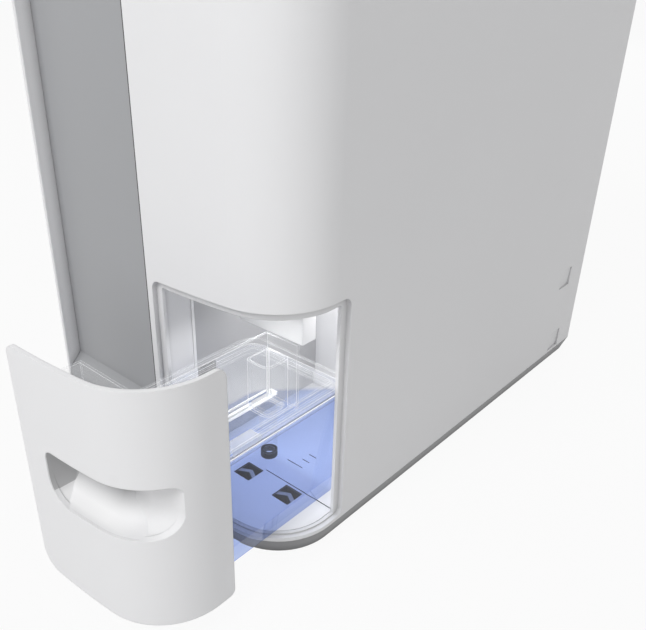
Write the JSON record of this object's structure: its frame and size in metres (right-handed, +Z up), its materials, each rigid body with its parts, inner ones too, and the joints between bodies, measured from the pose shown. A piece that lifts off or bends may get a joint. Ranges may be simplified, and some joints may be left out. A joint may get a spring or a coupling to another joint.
{
  "type": "dehumidifier",
  "caption": "Slim upright compressor dehumidifier with a bowed white housing, grey front panel and a pull-out blue water tank with a clear lid.",
  "frame": {"origin": "centre of the cabinet footprint on its underside", "axes": "+X to the right of the front, +Y to the rear, +Z up"},
  "size_m": [0.22, 0.5131, 0.531],
  "materials": {
    "white_housing": "fine satin moulding",
    "grey_panel": "silver grey satin moulding",
    "dark_base": "dark grey moulding",
    "white_liner": "white moulding",
    "grey_inner": "grey moulding",
    "black_inner": "black moulding",
    "black_rubber": "soft rubber",
    "can_aluminium": "bare aluminium",
    "motor_steel": "zinc plated steel",
    "black_paint": "black gloss paint",
    "copper_tube": "bare copper tube",
    "blue_clear": "blue see-through moulding",
    "clear_plastic": "clear moulding",
    "float_plastic": "foamed plastic",
    "magnet_dark": "dark magnet",
    "black_gloss": "black gloss window",
    "board_green": "circuit board",
    "button_grey": "satin moulding"
  },
  "bodies": {
    "cabinet": {"base_tray": "dark_base", "bay_liner": "white_liner", "coil_bends": "copper_tube", "compressor": "black_paint", "compressor_grommets": "black_rubber", "condenser": "can_aluminium", "control_board": "board_green", "control_fascia": "black_gloss", "cord_inlet": "black_rubber", "discharge_pipe": "copper_tube", "display_lens": "black_gloss", "drain_channel": "grey_inner", "drip_box": "white_liner", "drip_tray": "grey_inner", "electronics_box": "grey_inner", "evaporator": "can_aluminium", "fan_motor": "motor_steel", "fan_shroud": "grey_inner", "front_panel": "grey_panel", "left_shell": "white_housing", "rear_cover": "white_housing", "rear_screws": "motor_steel", "right_shell": "white_housing", "rubber_pads": "black_rubber", "run_capacitor": "can_aluminium", "suction_pipe": "copper_tube", "tank_switch": "black_inner", "top_cover": "white_housing"},
    "tank": {"tank_panel": "white_housing", "tank_bucket": "blue_clear"},
    "tank_lid": {"tank_lid": "clear_plastic"},
    "tank_float": {"tank_float": "float_plastic", "float_magnet": "magnet_dark"},
    "fan": {"fan_wheel": "black_inner"},
    "filter": {"intake_grille": "white_housing", "air_filter": "black_inner"},
    "louvre": {"outlet_louvre": "white_housing"},
    "power_button": {"power_button": "button_grey"},
    "mode_button": {"mode_button": "button_grey"},
    "humidity_button": {"humidity_button": "button_grey"},
    "timer_button": {"timer_button": "button_grey"}
  },
  "joints": [
    {"name": "tank_slide", "type": "slide", "parent": "cabinet", "child": "tank", "axis": [0, -1, 0], "range_m": [-0.0975, 0.06]},
    {"name": "lid_lift", "type": "slide", "parent": "tank", "child": "tank_lid", "axis": [0, 0, 1], "range_m": [0, 0.007]},
    {"name": "float_rise", "type": "slide", "parent": "tank_lid", "child": "tank_float", "axis": [0, 0, 1], "range_m": [0, 0.012]},
    {"name": "fan_spin", "type": "hinge", "parent": "cabinet", "child": "fan", "pos_m": [0, 0.094, 0.325], "axis": [0, 1, 0], "continuous": true},
    {"name": "filter_pull", "type": "slide", "parent": "cabinet", "child": "filter", "axis": [0, 1, 0], "range_m": [0, 0.06]},
    {"name": "louvre_tilt", "type": "hinge", "parent": "cabinet", "child": "louvre", "pos_m": [0, 0.112, 0.5248], "axis": [-1, 0, 0], "range_deg": [0, 75]},
    {"name": "power_press", "type": "slide", "parent": "cabinet", "child": "power_button", "axis": [0, 0, -1], "range_m": [0, 0.0012], "stiffness_N_per_m": 300},
    {"name": "mode_press", "type": "slide", "parent": "cabinet", "child": "mode_button", "axis": [0, 0, -1], "range_m": [0, 0.0012], "stiffness_N_per_m": 300},
    {"name": "humidity_press", "type": "slide", "parent": "cabinet", "child": "humidity_button", "axis": [0, 0, -1], "range_m": [0, 0.0012], "stiffness_N_per_m": 300},
    {"name": "timer_press", "type": "slide", "parent": "cabinet", "child": "timer_button", "axis": [0, 0, -1], "range_m": [0, 0.0012], "stiffness_N_per_m": 300}
  ]
}
